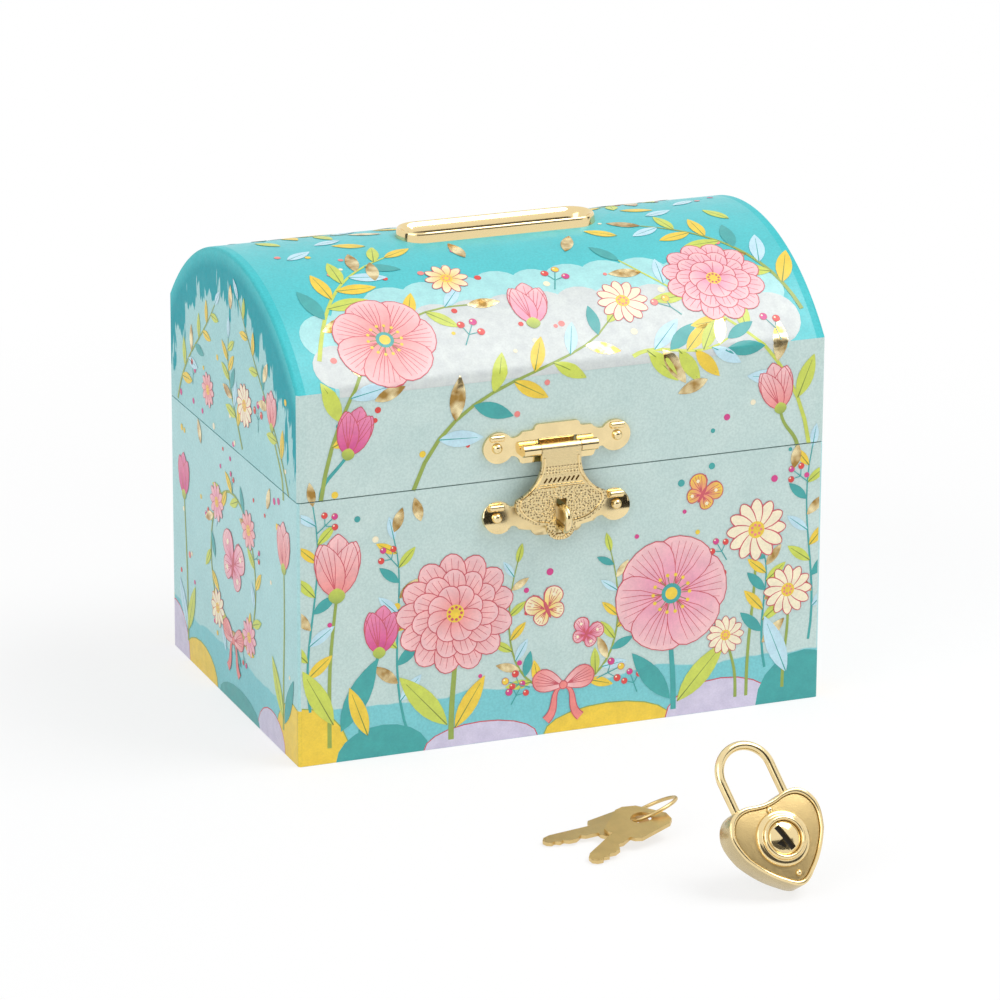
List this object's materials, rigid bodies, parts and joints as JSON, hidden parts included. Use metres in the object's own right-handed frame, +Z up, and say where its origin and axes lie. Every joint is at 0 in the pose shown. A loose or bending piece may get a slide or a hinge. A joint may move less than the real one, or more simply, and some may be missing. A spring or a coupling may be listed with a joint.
{
  "type": "jewellery box with domed lid",
  "caption": "Domed paper-wrapped jewellery box with a brass hasp, a slot in the lid, a clockwork music works with a turning dancer, and a heart padlock with keys.",
  "frame": {"origin": "middle of the box's underside", "axes": "+Z up, -Y out of the front face that carries the hasp, +X to the right seen from the front"},
  "size_m": [0.14, 0.2367, 0.1203],
  "materials": {
    "printed_board": "matt printed paper over board",
    "lining_paper": "matt",
    "stage_felt": "felt",
    "hinge_cloth": "matt",
    "ribbon": "satin",
    "wood_block": "plain",
    "polished_brass": "polished",
    "satin_brass": "satin",
    "steel": "satin",
    "figure_plastic": "painted",
    "net": "stiff net"
  },
  "bodies": {
    "base": {"floor_board": "printed_board", "front_wall": "printed_board", "back_wall": "printed_board", "left_wall": "printed_board", "right_wall": "printed_board", "divider_board": "printed_board", "stage_board": "printed_board", "stage_felt": "stage_felt", "storage_lining": "lining_paper", "hinge_strip": "hinge_cloth", "stay_ribbon": "ribbon", "hasp_lower_plate": "polished_brass", "hasp_lower_rivets": "polished_brass", "hasp_staple": "polished_brass", "winding_bush": "polished_brass", "movement_bedplate": "steel", "movement_screws": "steel", "comb": "steel", "low_bridge": "steel", "top_bridge": "steel"},
    "lid": {"lid_front_strip": "printed_board", "lid_back_strip": "printed_board", "lid_crown": "printed_board", "lid_end_left": "printed_board", "lid_end_right": "printed_board", "lid_lining": "lining_paper", "slot_ferrule": "polished_brass", "slot_back_ring": "polished_brass", "lid_striker": "wood_block", "hasp_upper_plate": "polished_brass", "hasp_upper_rivets": "polished_brass", "hasp_pin": "polished_brass"},
    "leaf": {"hasp_leaf": "polished_brass"},
    "winder": {"winding_arbor": "steel", "winding_key": "polished_brass"},
    "barrel": {"spring_barrel": "satin_brass", "mainspring": "steel"},
    "cylinder": {"cylinder_arbor": "steel", "pin_cylinder": "satin_brass", "cylinder_wheel": "satin_brass", "turntable": "polished_brass", "dancer_spring": "steel", "dancer_figure": "figure_plastic", "dancer_tutu": "net"},
    "idler": {"idler_arbor": "steel", "idler_wheel": "satin_brass"},
    "governor": {"fan_arbor": "steel", "fan": "steel"},
    "plunger": {"stop_plunger": "satin_brass"},
    "padlock": {"padlock_case": "polished_brass", "padlock_face": "satin_brass", "padlock_rivets": "polished_brass"},
    "shackle": {"padlock_shackle": "polished_brass"},
    "plug": {"padlock_plug": "polished_brass"},
    "ring": {"key_ring": "satin_brass"},
    "key_front": {"front_key": "satin_brass"},
    "key_rear": {"rear_key": "satin_brass"}
  },
  "joints": [
    {"name": "lid_hinge", "type": "hinge", "parent": "base", "child": "lid", "pos_m": [0, 0.048, 0.068], "axis": [-1, 0, 0], "range_deg": [0, 100], "deforming": ["hinge_strip", "stay_ribbon"]},
    {"name": "hasp_swing", "type": "hinge", "parent": "lid", "child": "leaf", "pos_m": [-0.0025, -0.0506, 0.0756], "axis": [-1, 0, 0], "range_deg": [0, 160]},
    {"name": "winding_turn", "type": "hinge", "parent": "base", "child": "winder", "pos_m": [0.0418, 0.048, 0.018], "axis": [0, 1, 0], "continuous": true},
    {"name": "barrel_turn", "type": "hinge", "parent": "base", "child": "barrel", "pos_m": [0.0418, 0.0276, 0.018], "axis": [0, 1, 0], "continuous": true},
    {"name": "cylinder_turn", "type": "hinge", "parent": "base", "child": "cylinder", "pos_m": [0.0418, 0.022, 0.031], "axis": [0, 0, 1], "continuous": true},
    {"name": "idler_turn", "type": "hinge", "parent": "base", "child": "idler", "pos_m": [0.04755, 0.01204, 0.05], "axis": [0, 0, 1], "continuous": true},
    {"name": "governor_turn", "type": "hinge", "parent": "base", "child": "governor", "pos_m": [0.05836, 0.01597, 0.03], "axis": [0, 0, 1], "continuous": true},
    {"name": "plunger_slide", "type": "slide", "parent": "base", "child": "plunger", "axis": [0, 0, 1], "range_m": [0, 0.0025]},
    {"name": "padlock_lift", "type": "slide", "parent": "base", "child": "padlock", "axis": [0, 0, 1], "range_m": [0, 0.08]},
    {"name": "shackle_pop", "type": "slide", "parent": "padlock", "child": "shackle", "axis": [-0.2453, 0.5223, 0.8167], "range_m": [0, 0.0065]},
    {"name": "plug_turn", "type": "hinge", "parent": "padlock", "child": "plug", "pos_m": [0.00733, -0.163, 0.01293], "axis": [0, 0.8425, -0.5388], "range_deg": [0, 90]},
    {"name": "ring_lift", "type": "slide", "parent": "base", "child": "ring", "axis": [0, 0, 1], "range_m": [0, 0.08]},
    {"name": "front_key_swing", "type": "hinge", "parent": "ring", "child": "key_front", "pos_m": [-0.00905, -0.11897, 0.004], "axis": [0, 0, 1], "range_deg": [-2, 10]},
    {"name": "rear_key_swing", "type": "hinge", "parent": "ring", "child": "key_rear", "pos_m": [-0.01094, -0.11599, 0.0022], "axis": [0, 0, 1], "range_deg": [-10, 2]}
  ],
  "couplings": [
    {"joint": "cylinder_turn", "follows": "barrel_turn", "ratio": -2},
    {"joint": "idler_turn", "follows": "barrel_turn", "ratio": 7.2},
    {"joint": "governor_turn", "follows": "barrel_turn", "ratio": -25.92},
    {"joint": "plunger_slide", "follows": "lid_hinge", "m_per_rad": 0.0014324}
  ]
}
